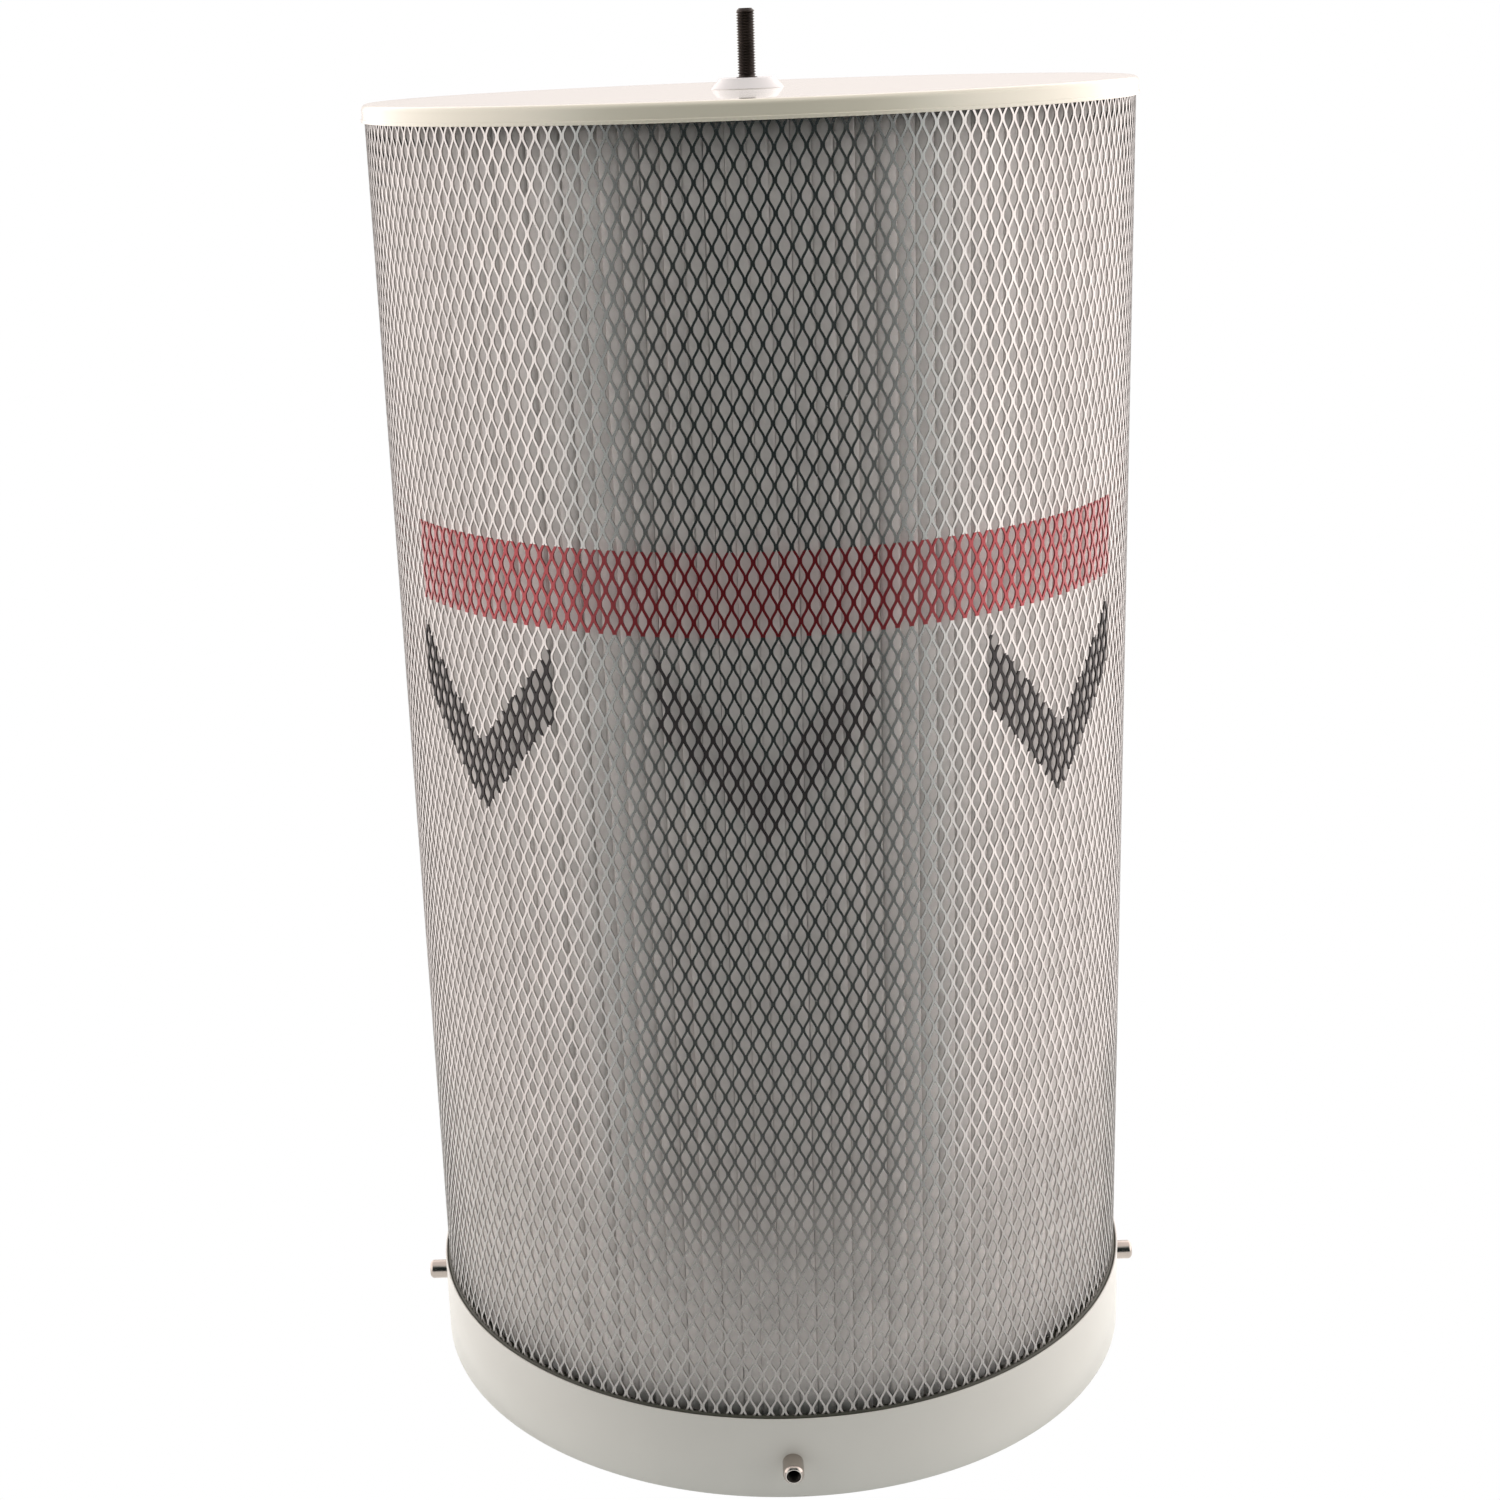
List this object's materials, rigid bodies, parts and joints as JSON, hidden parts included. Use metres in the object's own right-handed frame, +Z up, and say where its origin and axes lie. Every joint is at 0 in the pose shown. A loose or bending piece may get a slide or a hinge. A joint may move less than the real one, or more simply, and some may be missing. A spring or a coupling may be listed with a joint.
{
  "type": "dust collector canister filter",
  "caption": "Pleated cylindrical canister filter with a perforated metal screen, a top cap, a slip-over bottom ring and a hand-turned cleaning agitator inside.",
  "frame": {"origin": "centre of the bottom ring's lower edge", "axes": "+Z up along the canister's axis and the agitator's shaft, -Y towards the front clamp bush, +X to the right"},
  "size_m": [0.5432, 0.5432, 0.956],
  "materials": {
    "cream_paint": "glossy cream enamel on sheet steel",
    "screen_metal": "bare expanded metal, satin, with a painted red band and black marks",
    "filter_fabric": "matte spun-bonded polyester",
    "potting": "semi-matte poured polyurethane",
    "foam_rubber": "matte closed-cell foam",
    "bright_plating": "bright nickel plating",
    "galvanised_steel": "galvanised, satin",
    "plated_steel": "zinc plated, satin",
    "black_oxide": "blackened steel, oiled",
    "nylon": "natural nylon",
    "flap_rubber": "matte flexible rubber sheet"
  },
  "bodies": {
    "canister": {"top_cap": "cream_paint", "bearing_housing": "cream_paint", "housing_washer": "plated_steel", "housing_nut": "plated_steel", "top_bush": "nylon", "top_potting": "potting", "outer_screen": "screen_metal", "screen_seam": "screen_metal", "filter_media": "filter_fabric", "bottom_potting": "potting", "bottom_ring": "cream_paint", "seal_gasket": "foam_rubber", "clamp_bush_front": "bright_plating", "clamp_bush_right": "bright_plating", "clamp_bush_rear": "bright_plating", "clamp_bush_left": "bright_plating", "cross_bar": "galvanised_steel", "cross_bar_rivets": "plated_steel", "bottom_bush": "nylon"},
    "agitator": {"agitator_shaft": "black_oxide", "upper_collar": "galvanised_steel", "lower_collar": "galvanised_steel", "collar_screws": "black_oxide", "shaft_washer": "plated_steel", "retaining_ring": "plated_steel", "upper_arm": "galvanised_steel", "lower_arm": "galvanised_steel", "hub_screws": "black_oxide", "paddle_rail_a": "galvanised_steel", "paddle_rail_b": "galvanised_steel", "paddle_flap_a": "flap_rubber", "paddle_flap_b": "flap_rubber", "clamp_strip_a": "galvanised_steel", "clamp_strip_b": "galvanised_steel", "paddle_screws_a": "plated_steel", "paddle_screws_b": "plated_steel", "paddle_nuts_a": "plated_steel", "paddle_nuts_b": "plated_steel", "arm_bolts": "plated_steel", "arm_washers": "plated_steel"}
  },
  "joints": [
    {"name": "agitator_spin", "type": "hinge", "parent": "canister", "child": "agitator", "pos_m": [0, 0, 0.45], "axis": [0, 0, 1], "continuous": true}
  ]
}
